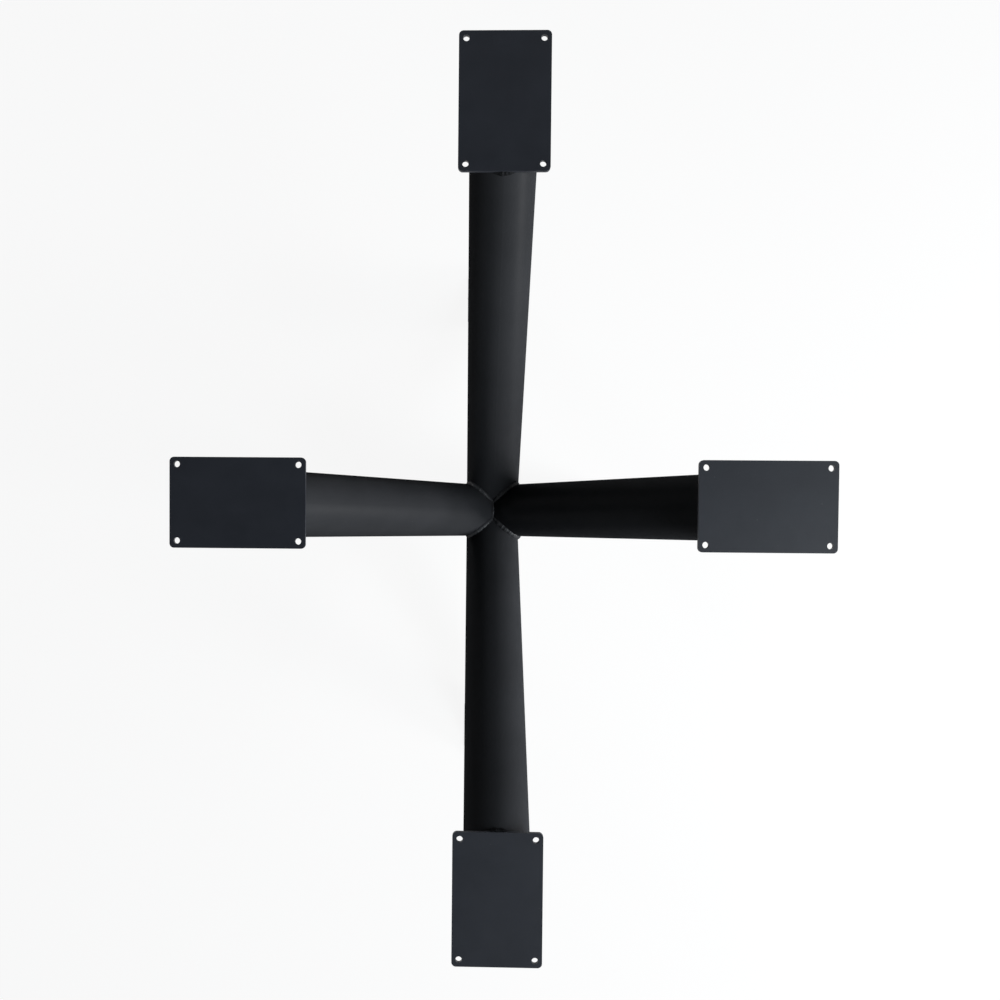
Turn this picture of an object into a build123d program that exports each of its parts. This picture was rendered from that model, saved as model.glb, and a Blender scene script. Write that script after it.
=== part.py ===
from build123d import *
from itertools import combinations
import os

# Spider table base: eight equal round tubes welded together at one hub at mid-height.
# Four arms rise to the mounting plates of the table top and four legs run down to the floor.
# North is +Y and east is +X. The origin is on the floor, under the hub.

# Overall size
overall_height = 720  # floor to the upper face of the mounting plates
overall_length = 1020  # over the outer edges of the north and south plates
overall_width = 728  # over the outer edges of the east and west plates
hub_height = 360  # floor to the point where the axes of all the tubes meet

# Tubes
tube_diameter = 76.1
tube_wall = 3

# Mounting plates
plate_length = 150  # along the arm
plate_width = 100
plate_thickness = 4
plate_corner_radius = 5
arm_inset = 15  # plate centre to arm axis at the plate's underside, towards the hub
screw_hole_diameter = 7
screw_hole_inset = 8  # hole centre to the nearest plate edges

# Feet
foot_plate_thickness = 5
foot_plate_margin = 2  # beyond the leg's oval end, on every side
foot_plate_corner = 20  # cut off each corner
floor_pad_length = 70  # along the leg
floor_pad_width = 50
floor_pad_thickness = 4
floor_pad_corner = 6  # cut off each corner

# Weld bead of the hub, laid along the seams
hub_bead_width = 9  # from one tube across to the other, at the most
hub_bead_height = 1.5  # above the seam

# Worked out from the sizes above
tube_radius = tube_diameter / 2
hub = Vector(0, 0, hub_height)
plate_underside = overall_height - plate_thickness
leg_end = floor_pad_thickness + foot_plate_thickness
uncut_tube_length = overall_height + overall_length  # longer than any finished tube
on_surface = 0.01  # a point this near to a surface counts as lying on it

outward = {
    "north": Vector(0, 1, 0),
    "south": Vector(0, -1, 0),
    "east": Vector(1, 0, 0),
    "west": Vector(-1, 0, 0),
}
plate_distance = {
    "north": (overall_length - plate_length) / 2,
    "south": (overall_length - plate_length) / 2,
    "east": (overall_width - plate_length) / 2,
    "west": (overall_width - plate_length) / 2,
}

# Each arm points from the hub to its plate, and each leg mirrors the arm above it
direction = {}
for side in outward:
    arm_run = outward[side] * (plate_distance[side] - arm_inset)
    arm_rise = Vector(0, 0, plate_underside - hub_height)
    direction["arm", side] = (arm_run + arm_rise).normalized()
for side in outward:
    arm_direction = direction["arm", side]
    direction["leg", side] = Vector(arm_direction.X, arm_direction.Y, -arm_direction.Z)


def neighbours(tube):
    # The tubes of the same half, and the one straight above or below
    return [other for other in direction if other != tube and (other[0] == tube[0] or other[1] == tube[1])]


def mitre_plane(tube, neighbour):
    # Equal tubes whose axes cross meet in the plane that halves the angle between them
    return Plane(origin=hub, z_dir=direction[tube] - direction[neighbour])


def axis_point(tube, height):
    # Where a tube's axis passes a given height
    return hub + direction[tube] * ((height - hub_height) / direction[tube].Z)


os.makedirs("parts", exist_ok=True)

# Arms and legs, mitred at the hub and cut level at the other end
tubes = {}
for tube in direction:
    kind, side = tube
    with BuildPart() as tube_piece:
        with BuildSketch(Plane(origin=hub, z_dir=direction[tube])):
            Circle(tube_radius)
            Circle(tube_radius - tube_wall, mode=Mode.SUBTRACT)
        extrude(amount=uncut_tube_length, both=True)
        for neighbour in neighbours(tube):
            split(bisect_by=mitre_plane(tube, neighbour), keep=Keep.TOP)
        if kind == "arm":
            split(bisect_by=Plane.XY.offset(plate_underside), keep=Keep.BOTTOM)
        else:
            split(bisect_by=Plane.XY.offset(leg_end), keep=Keep.TOP)
    tube_piece.part.label = f"{kind}_{side}"
    export_step(tube_piece.part, f"parts/{kind}_{side}.step")
    tubes[tube] = tube_piece.part


def hub_seam(tube, neighbour):
    # The outer edges of a tube's mitre against one neighbour
    plane = mitre_plane(tube, neighbour)

    def lies_on_seam(point):
        off_plane = abs(plane.to_local_coords(point).Z)
        off_outer_wall = abs((point - hub).cross(direction[tube]).length - tube_radius)
        return off_plane < on_surface and off_outer_wall < on_surface

    return tubes[tube].edges().filter_by(lambda edge: all(lies_on_seam(edge @ t) for t in (0, 0.5, 1)))


# Hub weld: one bead along every seam between two tubes, lying against their outer walls
with BuildPart() as hub_weld:
    for tube, neighbour in combinations(direction, 2):
        seam = hub_seam(tube, neighbour)
        if seam:
            bead_path = Wire(seam)
            across = mitre_plane(tube, neighbour).z_dir
            with BuildSketch(Plane(origin=bead_path @ 0, x_dir=across, z_dir=bead_path % 0)):
                Rectangle(hub_bead_width, 2 * hub_bead_height)
            sweep(path=bead_path)
    for side in outward:
        # An arm and the leg opposite it are in line, so one cut clears them both
        with BuildSketch(Plane(origin=hub, z_dir=direction["arm", side])):
            Circle(tube_radius)
        extrude(amount=uncut_tube_length, both=True, mode=Mode.SUBTRACT)
hub_weld.part.label = "hub_weld"
export_step(hub_weld.part, "parts/hub_weld.step")

# Mounting plates, with a screw hole near each corner
for side in outward:
    plate_origin = outward[side] * plate_distance[side] + Vector(0, 0, plate_underside)
    hole_spacing_along = plate_length - 2 * screw_hole_inset
    hole_spacing_across = plate_width - 2 * screw_hole_inset
    with BuildPart() as mounting_plate:
        with BuildSketch(Plane(origin=plate_origin, x_dir=outward[side])):
            RectangleRounded(plate_length, plate_width, plate_corner_radius)
            with GridLocations(hole_spacing_along, hole_spacing_across, 2, 2):
                Circle(screw_hole_diameter / 2, mode=Mode.SUBTRACT)
        extrude(amount=plate_thickness)
    mounting_plate.part.label = f"mounting_plate_{side}"
    export_step(mounting_plate.part, f"parts/mounting_plate_{side}.step")

# Feet: a flat plate under the oval end of each leg, and a rubber pad glued under the plate
for side in outward:
    leg = "leg", side
    foot_centre = axis_point(leg, leg_end)
    foot_origin = Vector(foot_centre.X, foot_centre.Y, 0)
    leg_end_length = tube_diameter / abs(direction[leg].Z)
    foot_plate_plane = Plane(origin=foot_origin + Vector(0, 0, floor_pad_thickness), x_dir=outward[side])
    with BuildPart() as foot_plate:
        with BuildSketch(foot_plate_plane) as foot_outline:
            Rectangle(leg_end_length + 2 * foot_plate_margin, tube_diameter + 2 * foot_plate_margin)
            chamfer(foot_outline.vertices(), length=foot_plate_corner)
        extrude(amount=foot_plate_thickness)
    foot_plate.part.label = f"foot_plate_{side}"
    export_step(foot_plate.part, f"parts/foot_plate_{side}.step")

    with BuildPart() as floor_pad:
        with BuildSketch(Plane(origin=foot_origin, x_dir=outward[side])) as pad_outline:
            Rectangle(floor_pad_length, floor_pad_width)
            chamfer(pad_outline.vertices(), length=floor_pad_corner)
        extrude(amount=floor_pad_thickness)
    floor_pad.part.label = f"floor_pad_{side}"
    export_step(floor_pad.part, f"parts/floor_pad_{side}.step")
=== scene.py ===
import bpy
import math
import random
from mathutils import Matrix, Vector


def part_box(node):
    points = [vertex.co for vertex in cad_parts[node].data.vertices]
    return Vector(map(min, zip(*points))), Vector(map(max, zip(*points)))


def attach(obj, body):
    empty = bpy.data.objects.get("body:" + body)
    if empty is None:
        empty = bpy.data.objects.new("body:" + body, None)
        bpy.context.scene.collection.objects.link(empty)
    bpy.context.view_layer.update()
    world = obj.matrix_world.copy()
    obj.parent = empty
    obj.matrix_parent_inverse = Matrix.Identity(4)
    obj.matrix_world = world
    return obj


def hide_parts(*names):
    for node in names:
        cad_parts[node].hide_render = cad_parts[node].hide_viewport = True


# Table base of welded tubes in black powder coat, lit from the east and seen from above.
# North is +Y and east is +X. All sizes are in metres.

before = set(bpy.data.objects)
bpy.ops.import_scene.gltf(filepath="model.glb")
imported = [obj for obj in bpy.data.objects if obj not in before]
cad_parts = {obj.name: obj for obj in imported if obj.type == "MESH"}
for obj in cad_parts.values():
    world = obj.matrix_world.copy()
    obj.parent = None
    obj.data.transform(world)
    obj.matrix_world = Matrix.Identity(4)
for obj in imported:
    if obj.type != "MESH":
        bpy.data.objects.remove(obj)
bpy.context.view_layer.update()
print("frame loaded:", len(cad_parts), "nodes")

body = "root"
outward = {
    "north": Vector((0, 1, 0)),
    "south": Vector((0, -1, 0)),
    "east": Vector((1, 0, 0)),
    "west": Vector((-1, 0, 0)),
}
sideTurn = {side: math.atan2(way.y, way.x) for side, way in outward.items()}
white = (1, 1, 1, 1)
randomDraw = random.Random(7)


# Where things are in the frame
def middleOf(node):
    low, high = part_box(node)
    return (low + high) / 2


def sizeOf(node):
    low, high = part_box(node)
    return high - low


armInset = 0.015  # plate centre to arm axis at the plate's underside
hub = middleOf("hub_weld")
tubeRadius = sizeOf("arm_north").x / 2
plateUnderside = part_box("mounting_plate_north")[0].z
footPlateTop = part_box("foot_plate_north")[1].z

tubeDirection = {}
for side in outward:
    armEnd = middleOf("mounting_plate_" + side) - outward[side] * armInset
    armEnd.z = plateUnderside
    rise = (armEnd - hub).normalized()
    tubeDirection["arm", side] = rise
    tubeDirection["leg", side] = Vector((rise.x, rise.y, -rise.z))


# Small helpers round the operators
def clearSelection():
    bpy.ops.object.select_all(action="DESELECT")


def pick(*objects):
    clearSelection()
    for item in objects:
        item.select_set(True)
    bpy.context.view_layer.objects.active = objects[0]


def applyModifier(piece, kind, **settings):
    pick(piece)
    modifier = piece.modifiers.new(kind.lower(), kind)
    for name, value in settings.items():
        setattr(modifier, name, value)
    bpy.ops.object.modifier_apply(modifier=modifier.name)


def selectEdges(piece, test):
    # test takes the two ends of an edge
    pick(piece)
    bpy.ops.object.mode_set(mode="EDIT")
    bpy.ops.mesh.select_mode(type="EDGE")
    bpy.ops.mesh.select_all(action="DESELECT")
    bpy.ops.object.mode_set(mode="OBJECT")
    points = piece.data.vertices
    for edge in piece.data.edges:
        edge.select = test(points[edge.vertices[0]].co, points[edge.vertices[1]].co)
    bpy.ops.object.mode_set(mode="EDIT")


uprightSlack = 1e-6  # how far an upright edge may lean


def isUpright(start, end):
    return abs(start.x - end.x) + abs(start.y - end.y) < uprightSlack


def placeCopy(pattern, name, middle, turn):
    # A copy with its own mesh, moved and turned in the mesh itself
    piece = pattern.copy()
    piece.data = pattern.data.copy()
    piece.name = piece.data.name = name
    bpy.context.collection.objects.link(piece)
    piece.location = middle
    piece.rotation_euler.z = turn
    pick(piece)
    bpy.ops.object.transform_apply(location=True, rotation=True, scale=True)
    return piece


def dress(piece, material, node=None):
    piece.data.materials.clear()
    piece.data.materials.append(material)
    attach(piece, body)
    if node:
        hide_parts(node)


# Shader sums, written as Python sums on sockets
class Wire:
    def __init__(self, tree, socket=None):
        self.tree = tree
        self.socket = socket

    def add(self, kind, settings=None, inputs=None, output=0):
        # Settings are set first, then the sockets get their values or links
        node = self.tree.nodes.new(kind)
        for name, value in (settings or {}).items():
            setattr(node, name, value)
        for name, value in (inputs or {}).items():
            if isinstance(value, Wire):
                self.tree.links.new(value.socket, node.inputs[name])
            else:
                node.inputs[name].default_value = value
        return Wire(self.tree, node.outputs[output] if node.outputs else None)

    def math(self, operation, first, second):
        return self.add("ShaderNodeMath", {"operation": operation}, {0: first, 1: second})

    def __add__(self, other):
        return self.math("ADD", self, other)

    def __radd__(self, other):
        return self.math("ADD", other, self)

    def __sub__(self, other):
        return self.math("SUBTRACT", self, other)

    def __rsub__(self, other):
        return self.math("SUBTRACT", other, self)

    def __mul__(self, other):
        return self.math("MULTIPLY", self, other)

    def __rmul__(self, other):
        return self.math("MULTIPLY", other, self)

    def __gt__(self, other):
        return self.math("GREATER_THAN", self, other)

    def __lt__(self, other):
        return self.math("LESS_THAN", self, other)


def newMaterial(name):
    material = bpy.data.materials.new(name)
    material.use_nodes = True
    material.node_tree.nodes.clear()
    return material, Wire(material.node_tree)


def mixColors(wire, factor, first, second):
    # The two colours of a Mix node are its sockets 6 and 7, and the mixed colour is its output 2
    return wire.add("ShaderNodeMix", {"data_type": "RGBA"}, {0: factor, 6: first, 7: second}, output=2)


noiseMiddle = 0.5  # the mean of a noise


def noise(wire, place, scale, detail):
    return wire.add("ShaderNodeTexNoise", None, {"Vector": place, "Scale": scale, "Detail": detail})


# Powder coat: a dark satin skin with orange peel, soft clouding, rubbed patches and a little dust
def powderCoat(name, look):
    material, wire = newMaterial(name)
    place = wire.add("ShaderNodeTexCoord", output="Object")
    peel = noise(wire, place, look["peelScale"], look["peelDetail"])
    grain = noise(wire, place, look["grainScale"], look["grainDetail"])
    cloud = noise(wire, place, look["cloudScale"], look["cloudDetail"])
    cloud = (cloud - noiseMiddle) * look["cloudContrast"] + noiseMiddle
    rub = noise(wire, place, look["rubScale"], look["rubDetail"])
    cells = {"Vector": place, "Scale": look["dustScale"]}
    dustPlace = wire.add("ShaderNodeTexVoronoi", None, cells, output="Distance")
    dustPick = wire.add("ShaderNodeTexVoronoi", None, cells, output="Color")
    dustChance = wire.add("ShaderNodeSeparateColor", None, {0: dustPick})
    dust = (dustPlace < look["dustSize"]) * (dustChance > 1 - look["dustShare"])
    tone = mixColors(wire, cloud, look["darkColor"], look["paleColor"])
    color = mixColors(wire, dust, tone, look["dustColor"])
    roughness = look["roughness"] + (rub - noiseMiddle) * look["roughSpread"] + dust * look["dustRoughness"]
    height = peel * look["peelShare"] + grain * (1 - look["peelShare"]) + dust * look["dustHeight"]
    bump = wire.add("ShaderNodeBump", None, {
        "Strength": look["bumpStrength"], "Distance": look["bumpDepth"], "Height": height,
    })
    coat = wire.add("ShaderNodeBsdfPrincipled", None, {
        "Base Color": color, "Roughness": roughness, "Normal": bump,
        "Specular IOR Level": look["gloss"],
    })
    sheen = wire.add("ShaderNodeBsdfAnisotropic", None, {
        "Color": white, "Roughness": roughness, "Normal": bump,
    })
    shader = wire.add("ShaderNodeMixShader", None, {0: look["sheen"], 1: coat, 2: sheen})
    wire.add("ShaderNodeOutputMaterial", None, {"Surface": shader})
    return material


tubeLook = {
    "darkColor": (0.0232, 0.024, 0.0262, 1),
    "paleColor": (0.031, 0.032, 0.0349, 1),
    "dustColor": (0.07, 0.072, 0.076, 1),
    "peelScale": 420.0,
    "peelDetail": 2.0,
    "peelShare": 0.6,
    "grainScale": 2600.0,
    "grainDetail": 3.0,
    "cloudScale": 14.0,
    "cloudDetail": 4.0,
    "cloudContrast": 1.6,
    "rubScale": 38.0,
    "rubDetail": 5.0,
    "dustScale": 130.0,
    "dustSize": 0.045,
    "dustShare": 0.05,
    "dustHeight": 0.6,
    "dustRoughness": 0.15,
    "roughness": 0.42,
    "roughSpread": 0.14,
    "bumpStrength": 0.34,
    "bumpDepth": 0.00025,
    "gloss": 0.0,
    "sheen": 0.0025,
}
plateLook = dict(
    tubeLook,
    darkColor=(0.0131, 0.0151, 0.0206, 1),
    paleColor=(0.0197, 0.0224, 0.0296, 1),
    cloudScale=26.0,
    rubScale=60.0,
    dustShare=0.04,
    roughness=0.52,
    roughSpread=0.12,
    gloss=0.29,
    sheen=0.0,
)
weldLook = dict(
    tubeLook,
    darkColor=(0.026, 0.0268, 0.029, 1),
    paleColor=(0.036, 0.037, 0.0398, 1),
    roughness=0.36,
    bumpStrength=0.3,
    sheen=0.014,
)
# Ring beads under the plates: the weld coat with darker colours as painted shade from the plate above them,
# and less sheen
shadedRingWeldLook = dict(
    weldLook,
    darkColor=(0.010, 0.0104, 0.0112, 1),
    paleColor=(0.016, 0.0165, 0.0178, 1),
    sheen=0.002,
)
coatedTube = powderCoat("coatedTube", tubeLook)
coatedPlate = powderCoat("coatedPlate", plateLook)
coatedWeld = powderCoat("coatedWeld", weldLook)
# The ring beads' coat: weld coat darkened into painted shade
shadedRingWeld = powderCoat("shadedRingWeld", shadedRingWeldLook)

# Rubber of the floor pads
rubberLook = {
    "color": (0.012, 0.012, 0.0125, 1),
    "wornColor": (0.026, 0.026, 0.026, 1),
    "wornScale": 70.0,
    "wornDetail": 4.0,
    "grainScale": 1800.0,
    "grainDetail": 2.0,
    "roughness": 0.82,
    "roughSpread": 0.12,
    "bumpStrength": 0.4,
    "bumpDepth": 0.0003,
    "gloss": 0.3,
}


def rubber(name, look):
    material, wire = newMaterial(name)
    place = wire.add("ShaderNodeTexCoord", output="Object")
    worn = noise(wire, place, look["wornScale"], look["wornDetail"])
    grain = noise(wire, place, look["grainScale"], look["grainDetail"])
    color = mixColors(wire, worn, look["color"], look["wornColor"])
    roughness = look["roughness"] + (worn - noiseMiddle) * look["roughSpread"]
    bump = wire.add("ShaderNodeBump", None, {
        "Strength": look["bumpStrength"], "Distance": look["bumpDepth"], "Height": grain,
    })
    shader = wire.add("ShaderNodeBsdfPrincipled", None, {
        "Base Color": color, "Roughness": roughness, "Normal": bump,
        "Specular IOR Level": look["gloss"],
    })
    wire.add("ShaderNodeOutputMaterial", None, {"Surface": shader})
    return material


padRubber = rubber("padRubber", rubberLook)
print("materials made")

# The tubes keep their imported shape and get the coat
for kind in ("arm", "leg"):
    for side in outward:
        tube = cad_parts[kind + "_" + side]
        tube.data.materials.clear()
        tube.data.materials.append(coatedTube)
print("tubes coated")

# Flat plates: a block with shaped corners, holes where it has any, and softened edges
plateFinish = {
    "drillSteps": 48,
    "drillReach": 3,  # times the plate's thickness
    "edgeSteps": 3,
    "edgeAngle": 40,  # degrees; sharper edges are softened
    "flatWeight": 50,
}


def flatPlate(name, size, look, holes=()):
    clearSelection()
    bpy.ops.mesh.primitive_cube_add(size=1)
    plate = bpy.context.object
    plate.name = name
    plate.scale = size
    bpy.ops.object.transform_apply(scale=True)
    selectEdges(plate, isUpright)
    bpy.ops.mesh.bevel(offset=look["cornerCut"], segments=look["cornerSteps"], affect="EDGES")
    bpy.ops.object.mode_set(mode="OBJECT")
    for x, y in holes:
        clearSelection()
        bpy.ops.mesh.primitive_cylinder_add(
            vertices=plateFinish["drillSteps"], radius=look["holeRadius"],
            depth=size[2] * plateFinish["drillReach"], location=(x, y, 0))
        drill = bpy.context.object
        applyModifier(plate, "BOOLEAN", operation="DIFFERENCE", object=drill, solver="EXACT")
        bpy.data.objects.remove(drill)
    pick(plate)
    bpy.ops.object.shade_smooth()
    applyModifier(plate, "BEVEL", width=look["edgeSoftness"], segments=plateFinish["edgeSteps"],
                  limit_method="ANGLE", angle_limit=math.radians(plateFinish["edgeAngle"]))
    applyModifier(plate, "WEIGHTED_NORMAL", mode="FACE_AREA", weight=plateFinish["flatWeight"],
                  keep_sharp=False)
    return plate


mountingPlate = {
    "length": 0.150,
    "width": 0.100,
    "cornerCut": 0.005,
    "cornerSteps": 8,
    "edgeSoftness": 0.0006,
    "holeInset": 0.008,
    "holeRadius": 0.0035,
}
holeAlong = mountingPlate["length"] / 2 - mountingPlate["holeInset"]
holeAcross = mountingPlate["width"] / 2 - mountingPlate["holeInset"]
plateHoles = [(x, y) for x in (-holeAlong, holeAlong) for y in (-holeAcross, holeAcross)]
plateSize = (mountingPlate["length"], mountingPlate["width"], sizeOf("mounting_plate_north").z)
platePattern = flatPlate("platePattern", plateSize, mountingPlate, plateHoles)
for side in outward:
    node = "mounting_plate_" + side
    plate = placeCopy(platePattern, "plate_" + side, middleOf(node), sideTurn[side])
    dress(plate, coatedPlate, node)
bpy.data.objects.remove(platePattern)
print("mounting plates made")

# Feet: a plate with clipped corners under each leg, and a rubber pad under the plate
footPlate = {"cornerCut": 0.020, "cornerSteps": 1, "edgeSoftness": 0.0006}
floorPad = {"cornerCut": 0.006, "cornerSteps": 1, "edgeSoftness": 0.0009}
for side in outward:
    for node, name, look, material, slotName in (
        ("foot_plate_" + side, "footplate_" + side, footPlate, coatedPlate, "coated_plate"),
        ("floor_pad_" + side, "floorpad_" + side, floorPad, padRubber, "floor_pad"),
    ):
        size = sizeOf(node)
        along = max(size.x, size.y)
        across = min(size.x, size.y)
        pattern = flatPlate("pattern", (along, across, size.z), look)
        dress(placeCopy(pattern, name, middleOf(node), sideTurn[side]), material, node)
        bpy.data.objects.remove(pattern)
print("feet made")


# Weld beads: overlapping ripples along a seam, melted into one skin
def weldBead(name, ripples, look):
    clearSelection()
    bpy.ops.mesh.primitive_ico_sphere_add(subdivisions=look["ballRounds"], radius=1)
    ball = bpy.context.object
    copies = []
    for middle, across, along, up, halfWidth, height in ripples:
        lump = ball.copy()
        lump.data = ball.data.copy()
        bpy.context.collection.objects.link(lump)
        grow = 1 + randomDraw.uniform(-look["unevenness"], look["unevenness"])
        turned = Matrix((across, along, up)).transposed().to_4x4()
        sized = Matrix.Diagonal((halfWidth * grow, look["pitch"] * look["overlap"], height * grow, 1))
        lump.data.transform(Matrix.Translation(middle) @ turned @ sized)
        copies.append(lump)
    bpy.data.objects.remove(ball)
    pick(*copies)
    bpy.ops.object.join()
    bead = bpy.context.object
    bead.name = bead.data.name = name
    applyModifier(bead, "REMESH", mode="VOXEL", voxel_size=look["voxel"])
    applyModifier(bead, "SMOOTH", factor=look["meltFactor"], iterations=look["melting"])
    pick(bead)
    bpy.ops.object.shade_smooth()
    return bead


hubBead = {
    "ballRounds": 2,  # subdivisions of a ripple's ball
    "pitch": 0.0022,
    "overlap": 0.95,
    "halfWidth": 0.0034,
    "height": 0.0022,
    "unevenness": 0.2,
    "voxel": 0.0006,
    "meltFactor": 0.5,
    "melting": 2,
    "seamSizes": {  # on top, and at the side
        "north west": (1.15, 0.35),
        "north east": (1.1, 0.35),
        "south west": (1.1, 0.35),
        "south east": (1.2, 1.1),
    },
    "plainSize": (0.8, 0.8),
    "topFrom": 0.55,  # how far up a bead faces before it has its top size
    "endSize": 0.55,
    "taperLength": 0.014,
    "seamSteps": 720,
    "seamSlack": 1e-5,  # how far past its end a seam still counts
    "valleyFill": 0.45,  # how far a ripple is lifted out of the valley between two walls
}


def endTaper(index, count, look):
    # A bead thins out where it runs into the others
    fromEnd = min(index, count - 1 - index) * look["pitch"]
    return look["endSize"] + (1 - look["endSize"]) * min(1, fromEnd / look["taperLength"])


def seamRipples(one, two, look):
    # Equal tubes meet in an ellipse, in the plane that halves the angle between their axes
    first, second = tubeDirection[one], tubeDirection[two]
    halving = (first + second).normalized()
    level = first.cross(second).normalized()
    reach = tubeRadius / math.sqrt(1 - halving.dot(first) ** 2)
    across = (first - second).normalized()
    topSize, sideSize = look["seamSizes"].get(one[1] + " " + two[1], look["plainSize"])
    points = []
    for step in range(look["seamSteps"]):
        angle = math.pi * (step / look["seamSteps"] - 0.5)
        point = halving * reach * math.cos(angle) + level * tubeRadius * math.sin(angle)
        nearest = max(point.dot(direction) for direction in tubeDirection.values())
        if point.dot(first) < nearest - look["seamSlack"]:
            continue
        if points and (point - points[-1]).length < look["pitch"]:
            continue
        points.append(point)
    ripples = []
    for index, point in enumerate(points):
        wallOne = (point - first * point.dot(first)).normalized()
        wallTwo = (point - second * point.dot(second)).normalized()
        up = (wallOne + wallTwo).normalized()
        along = up.cross(across)
        size = sideSize + (topSize - sideSize) * min(1, abs(up.z) / look["topFrom"])
        size *= endTaper(index, len(points), look)
        halfWidth = look["halfWidth"] * size
        height = look["height"] * size
        valley = math.tan(math.acos(max(-1.0, min(1.0, up.dot(wallOne)))))
        lift = halfWidth * valley * look["valleyFill"]
        ripples.append((hub + point + up * lift, across, along, up, halfWidth, height))
    return ripples


inLine = 1e-4  # tubes whose directions cancel out this closely run straight through the hub
tubeNames = list(tubeDirection)
hubRipples = []
for index, one in enumerate(tubeNames):
    for two in tubeNames[index + 1:]:
        if (tubeDirection[one] + tubeDirection[two]).length > inLine:
            hubRipples += seamRipples(one, two, hubBead)
hubWeld = weldBead("hubBead", hubRipples, hubBead)
dress(hubWeld, coatedWeld, "hub_weld")
print("hub bead made:", len(hubRipples), "ripples,", len(hubWeld.data.polygons), "faces")

# Ring beads where a tube stands against a flat plate
plateBead = dict(
    hubBead,
    pitch=0.0024,
    halfWidth=0.0034,
    height=0.0034,
    voxel=0.0007,
    outset=0.0008,
    lift=-0.0012,
)
footBead = dict(
    hubBead,
    pitch=0.0019,
    halfWidth=0.0021,
    height=0.0021,
    voxel=0.0006,
    outset=0.0002,
    lift=0.0004,
)


def ringRipples(tube, level, look):
    # The level cut of a leaning tube is an ellipse
    direction = tubeDirection[tube]
    centre = hub + direction * ((level - hub.z) / direction.z)
    lean = Vector((direction.x, direction.y, 0)).normalized()
    cross = Vector((-lean.y, lean.x, 0))
    up = Vector((0, 0, 1))
    longHalf = tubeRadius / abs(direction.z)
    count = int(math.pi * (longHalf + tubeRadius) / look["pitch"])
    ripples = []
    for step in range(count):
        angle = 2 * math.pi * step / count
        point = centre + lean * longHalf * math.cos(angle) + cross * tubeRadius * math.sin(angle)
        across = (lean * math.cos(angle) / longHalf + cross * math.sin(angle) / tubeRadius).normalized()
        along = up.cross(across)
        middle = point + across * look["outset"] + up * look["lift"]
        ripples.append((middle, across, along, up, look["halfWidth"], look["height"]))
    return ripples


for side in outward:
    ripples = ringRipples(("arm", side), plateUnderside, plateBead)
    bead = weldBead("plateBead_" + side, ripples, plateBead)
    dress(bead, shadedRingWeld)
    ripples = ringRipples(("leg", side), footPlateTop, footBead)
    bead = weldBead("footBead_" + side, ripples, footBead)
    dress(bead, shadedRingWeld)
print("plate and foot beads made")

# Floor: a pale round sheet that fades out well outside the picture
floorSetup = {
    "radius": 2.6,
    "steps": 128,
    "fadeFrom": 1.9,
    "fadeTo": 2.548,
    "paint": (0.9, 0.9, 0.9, 1),
    "whiteShare": 0.9,
}


def seenDirectly(wire):
    # 1 where the camera sees a surface, also in a mirror or through glass
    seen = wire.add("ShaderNodeLightPath", output="Is Camera Ray")
    for ray in ("Is Glossy Ray", "Is Transmission Ray"):
        seen = wire.math("MAXIMUM", seen, wire.add("ShaderNodeLightPath", output=ray))
    return seen


def floorPaint(look):
    material, wire = newMaterial("paleFloor")
    place = wire.add("ShaderNodeTexCoord", output="Object")
    distance = wire.add("ShaderNodeVectorMath", {"operation": "LENGTH"}, {0: place}, output="Value")
    fade = wire.add("ShaderNodeMapRange", {"interpolation_type": "SMOOTHSTEP"}, {
        "Value": distance, "From Min": look["fadeFrom"], "From Max": look["fadeTo"],
    })
    pale = wire.add("ShaderNodeBsdfDiffuse", None, {"Color": look["paint"]})
    glow = wire.add("ShaderNodeEmission", None, {"Color": white, "Strength": 1.0})
    shown = wire.add("ShaderNodeMixShader", None, {0: look["whiteShare"], 1: pale, 2: glow})
    lit = wire.add("ShaderNodeMixShader", None, {0: seenDirectly(wire), 1: pale, 2: shown})
    clear = wire.add("ShaderNodeBsdfTransparent")
    faded = wire.add("ShaderNodeMixShader", None, {0: fade, 1: lit, 2: clear})
    wire.add("ShaderNodeOutputMaterial", None, {"Surface": faded})
    return material


clearSelection()
bpy.ops.mesh.primitive_circle_add(
    vertices=floorSetup["steps"], radius=floorSetup["radius"], fill_type="NGON")
floor = bpy.context.object
floor.name = "floor"
floor.data.materials.append(floorPaint(floorSetup))
print("floor laid")

# Lamps: a low box in the east and a soft box high in the south-east give the picture its light.
# A dim panel on the floor and a narrow low strip behind the legs only fill what the picture doesn't show.
lampSetup = {
    "lowBox": {
        "place": (2.4, -0.6, 0.85),
        "aim": (0, 0, 0.5),
        "size": (0.8, 0.7),
        "power": 66.0,
        "tint": (1, 1, 1),
        "spread": 180,  # degrees
    },
    "softBox": {
        "place": (1.8, -0.85, 2.6),
        "aim": (0.1, -0.05, 0.7),
        "size": (1.4, 1.4),
        "power": 65.0,
        "tint": (0.88, 0.95, 1),
        "spread": 180,
    },
    "floorPanel": {
        "place": (0, 0, 0.002),
        "aim": (0, 0, 1),
        "size": (2.6, 2.6),
        "power": 9.0,
        "tint": (1, 1, 1),
        "spread": 180,
    },
    "legStrip": {
        "place": (-1.75, 1.75, 0.1),
        "aim": (0, 0, 0.08),
        "size": (1.4, 0.2),
        "power": 3.0,
        "tint": (1, 1, 1),
        "spread": 17,
    },
}


def softLight(name, look):
    place = Vector(look["place"])
    aim = (Vector(look["aim"]) - place).to_track_quat("-Z", "Y").to_euler()
    clearSelection()
    bpy.ops.object.light_add(type="AREA", location=place, rotation=aim)
    lamp = bpy.context.object
    lamp.name = name
    lamp.data.shape = "RECTANGLE"
    lamp.data.size, lamp.data.size_y = look["size"]
    lamp.data.energy = look["power"]
    lamp.data.color = look["tint"]
    lamp.data.spread = math.radians(look["spread"])
    lamp.visible_camera = False


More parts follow.
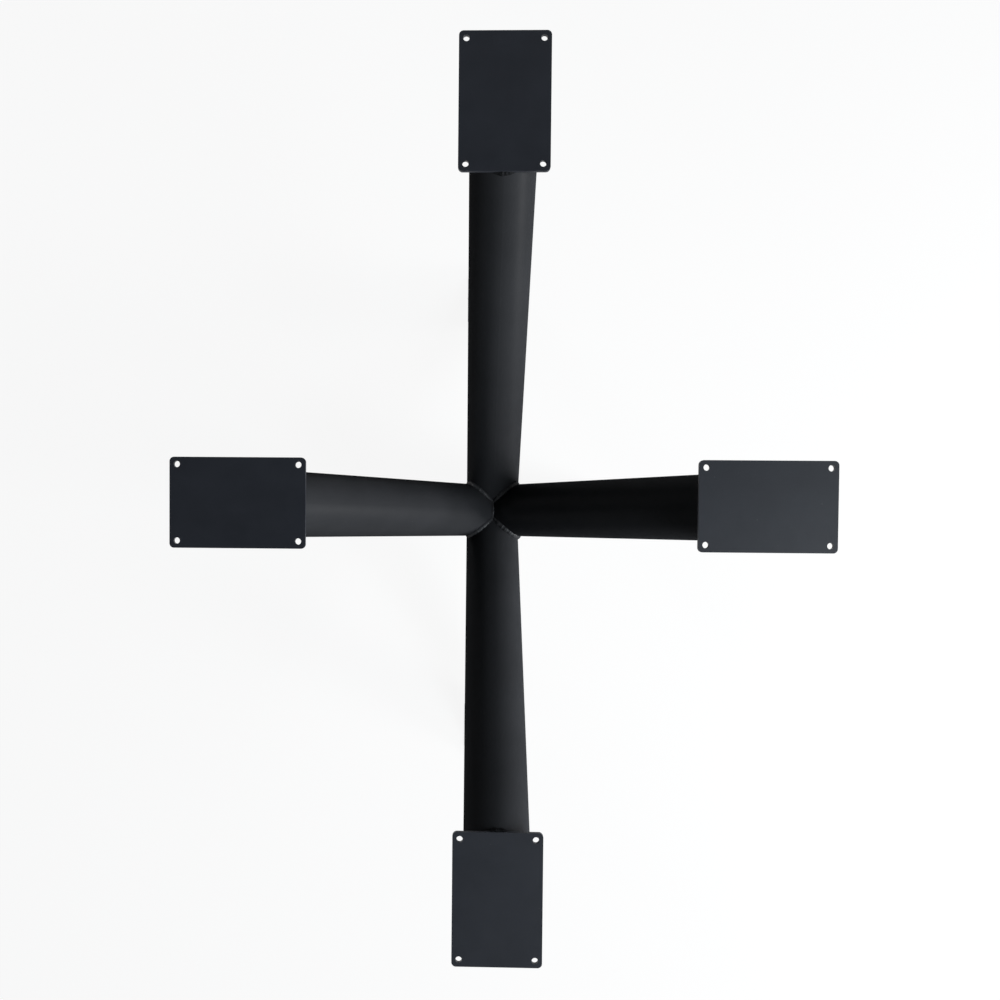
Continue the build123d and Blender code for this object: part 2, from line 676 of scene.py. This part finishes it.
for name, look in lampSetup.items():
    softLight(name, look)
print("lamps placed")

# Room: dim on the object, and white at the horizon under a dark ceiling where the camera sees it
roomSetup = {
    "light": (0.02, 0.0205, 0.022, 1),
    "horizon": (0.985, 0.985, 0.985, 1),
    "ceiling": (0.03, 0.031, 0.033, 1),
    "horizonTop": 34,  # degrees above level
    "ceilingFrom": 56,
}
world = bpy.data.worlds.new("room")
world.use_nodes = True
world.node_tree.nodes.clear()
air = Wire(world.node_tree)
gaze = air.add("ShaderNodeTexCoord", output="Generated")
gazeUp = air.add("ShaderNodeSeparateXYZ", None, {0: gaze}, output="Z")
upward = air.add("ShaderNodeMapRange", {"interpolation_type": "SMOOTHSTEP"}, {
    "Value": gazeUp,
    "From Min": math.sin(math.radians(roomSetup["horizonTop"])),
    "From Max": math.sin(math.radians(roomSetup["ceilingFrom"])),
})
backdropColor = mixColors(air, upward, roomSetup["horizon"], roomSetup["ceiling"])
backdrop = air.add("ShaderNodeBackground", None, {"Color": backdropColor})
dim = air.add("ShaderNodeBackground", None, {"Color": roomSetup["light"]})
shown = air.add("ShaderNodeMixShader", None, {0: seenDirectly(air), 1: dim, 2: backdrop})
air.add("ShaderNodeOutputWorld", None, {"Surface": shown})
bpy.context.scene.world = world
print("room made")

# Camera: almost straight above the hub
cameraSetup = {
    "place": (-0.035, -0.0226, 1.6201),
    "turnDegrees": (-1.276, 1.304, 0.474),
    "sensor": 36,  # millimetres, as the lens
    "lens": 29.697,
    "shift": (0.0501, 0.0436),
    "nearest": 0.01,
}
clearSelection()
bpy.ops.object.camera_add(
    location=cameraSetup["place"], rotation=[math.radians(angle) for angle in cameraSetup["turnDegrees"]])
camera = bpy.context.object
camera.data.sensor_width = cameraSetup["sensor"]
camera.data.lens = cameraSetup["lens"]
camera.data.shift_x, camera.data.shift_y = cameraSetup["shift"]
camera.data.clip_start = cameraSetup["nearest"]
bpy.context.scene.camera = camera
bpy.context.scene.view_settings.view_transform = "Standard"
print("camera placed")
